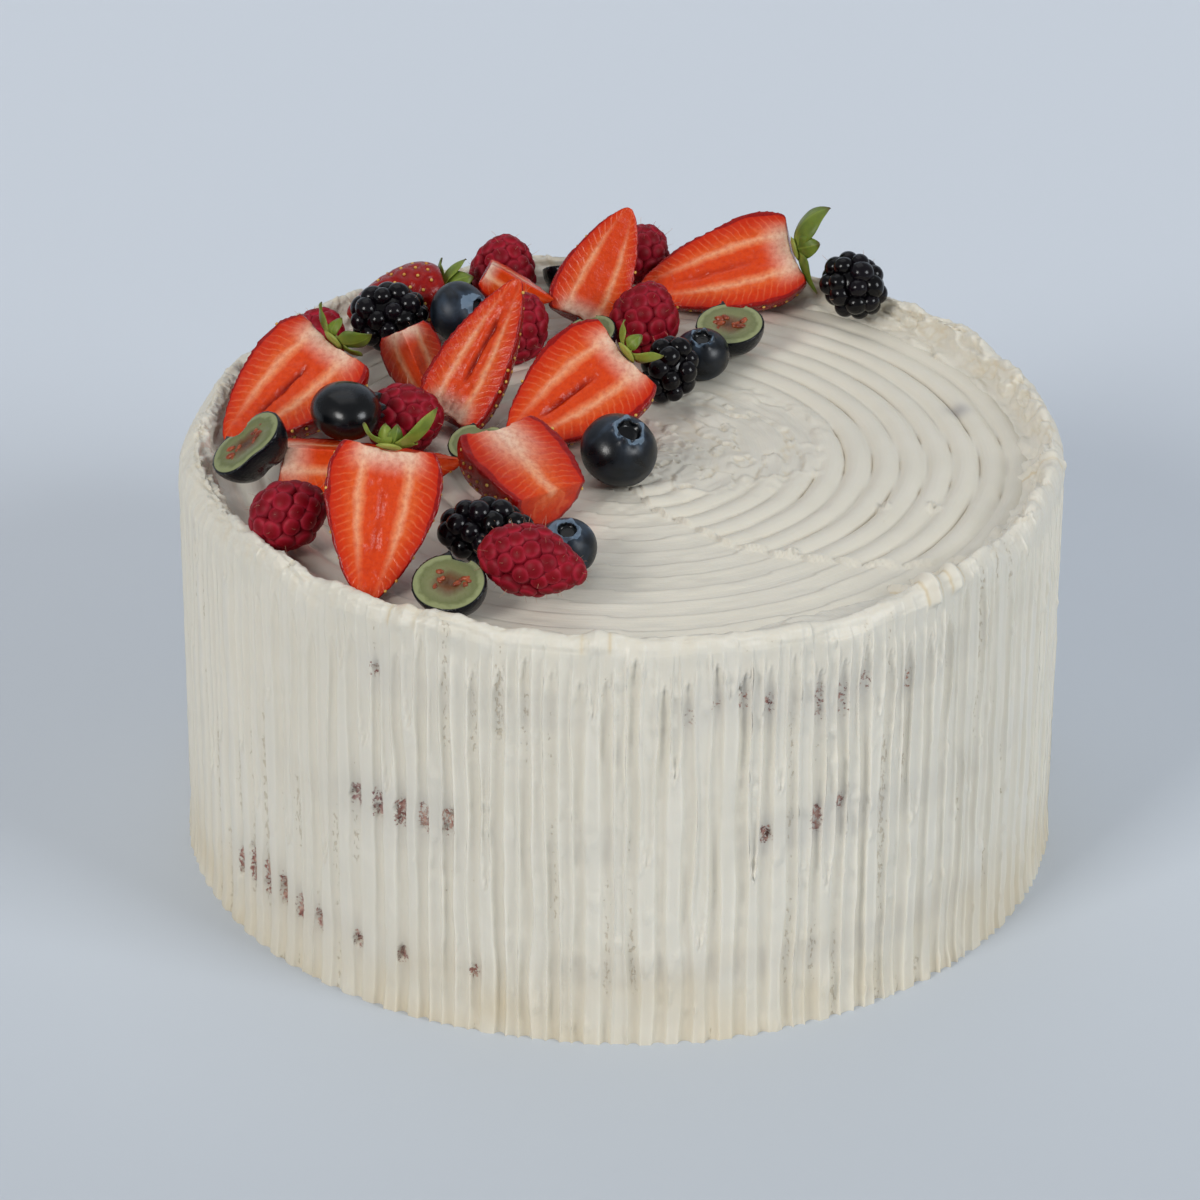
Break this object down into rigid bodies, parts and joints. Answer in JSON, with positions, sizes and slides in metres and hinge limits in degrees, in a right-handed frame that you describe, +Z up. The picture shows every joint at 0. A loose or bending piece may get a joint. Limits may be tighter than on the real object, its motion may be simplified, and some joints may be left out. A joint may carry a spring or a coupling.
{
  "type": "layer cake with berries",
  "caption": "Tall round layer cake in combed pale cream with a ragged rim, sponge showing through in places, and a crescent heap of cut strawberries and berries on top.",
  "frame": {"origin": "on the cake's axis, in the plane that its base rests on", "axes": "+Z up along the cake's axis; +Y away from the picture's viewpoint, +X to its right, so the fruit lies to the left and the back"},
  "size_m": [0.2134, 0.2139, 0.1381],
  "materials": {
    "cream": "soft satin whipped cream",
    "sponge": "dry open crumb",
    "strawberry": "moist cut flesh and glossy skin",
    "raspberry": "downy satin",
    "bramble": "glossy",
    "blueberry": "waxy bloom over dark skin",
    "blueberry_flesh": "moist",
    "leaf": "satin"
  },
  "bodies": {
    "root": {"blueberry_back": "blueberry", "blueberry_centre": "blueberry", "blueberry_front": "blueberry", "blueberry_half_back": "blueberry_flesh", "blueberry_half_far": "blueberry_flesh", "blueberry_half_front": "blueberry_flesh", "blueberry_half_inner": "blueberry_flesh", "blueberry_half_leafy": "blueberry_flesh", "blueberry_half_middle": "blueberry_flesh", "blueberry_half_rim": "blueberry_flesh", "blueberry_inner": "blueberry", "blueberry_left": "blueberry", "bramble_front": "bramble", "bramble_inner": "bramble", "bramble_left": "bramble", "bramble_right": "bramble", "cream_coat": "cream", "raspberry_back": "raspberry", "raspberry_core": "raspberry", "raspberry_far": "raspberry", "raspberry_far_left": "raspberry", "raspberry_front": "raspberry", "raspberry_inner": "raspberry", "raspberry_left": "raspberry", "raspberry_middle": "raspberry", "sponge_lower": "sponge", "sponge_middle": "sponge", "sponge_upper": "sponge", "strawberry_chunk": "strawberry", "strawberry_half_front": "strawberry", "strawberry_half_front_calyx": "leaf", "strawberry_half_inner": "strawberry", "strawberry_half_left": "strawberry", "strawberry_half_left_calyx": "leaf", "strawberry_half_middle": "strawberry", "strawberry_half_middle_calyx": "leaf", "strawberry_half_right": "strawberry", "strawberry_half_right_calyx": "leaf", "strawberry_quarter_left": "strawberry", "strawberry_slice_tall": "strawberry", "strawberry_wedge_back": "strawberry", "strawberry_wedge_left": "strawberry", "strawberry_whole_back": "strawberry", "strawberry_whole_back_calyx": "leaf"}
  },
  "joints": []
}
